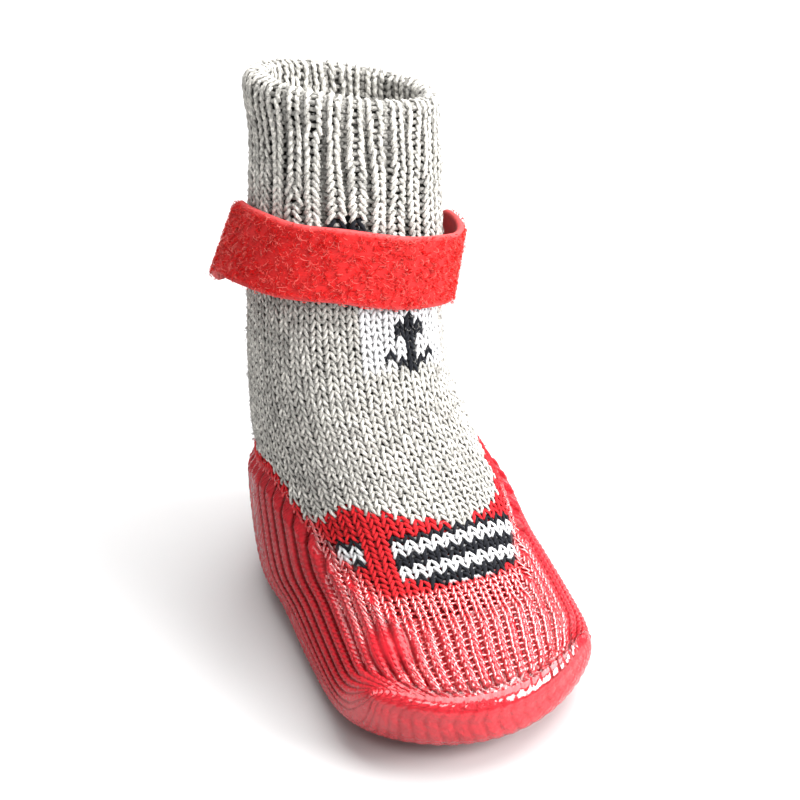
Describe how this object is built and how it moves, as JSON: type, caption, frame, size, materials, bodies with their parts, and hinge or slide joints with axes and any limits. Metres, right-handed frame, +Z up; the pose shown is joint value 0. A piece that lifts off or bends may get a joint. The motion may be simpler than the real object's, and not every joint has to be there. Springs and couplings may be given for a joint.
{
  "type": "pet sock",
  "caption": "Knitted pet sock with a turned-in ribbed cuff, a red rubber-dipped sole and toe, and a loose hook-and-loop ankle strap.",
  "frame": {"origin": "point on the ground plane under the ball of the foot, in the middle of the sole", "axes": "+Z up from the sole, -Y towards the toe, +X towards the wearer's left"},
  "size_m": [0.0556, 0.1098, 0.1143],
  "materials": {
    "grey_knit": "marled light grey cotton knit, red toe and heel, matt",
    "red_rubber": "glossy dipped latex over knit",
    "red_pile": "napped loop pile, matt",
    "red_hook": "woven hook tape back, satin"
  },
  "bodies": {
    "root": {"knit_upper": "grey_knit", "rubber_sole": "red_rubber", "strap_band": "red_pile", "strap_tab": "red_hook"}
  },
  "joints": []
}
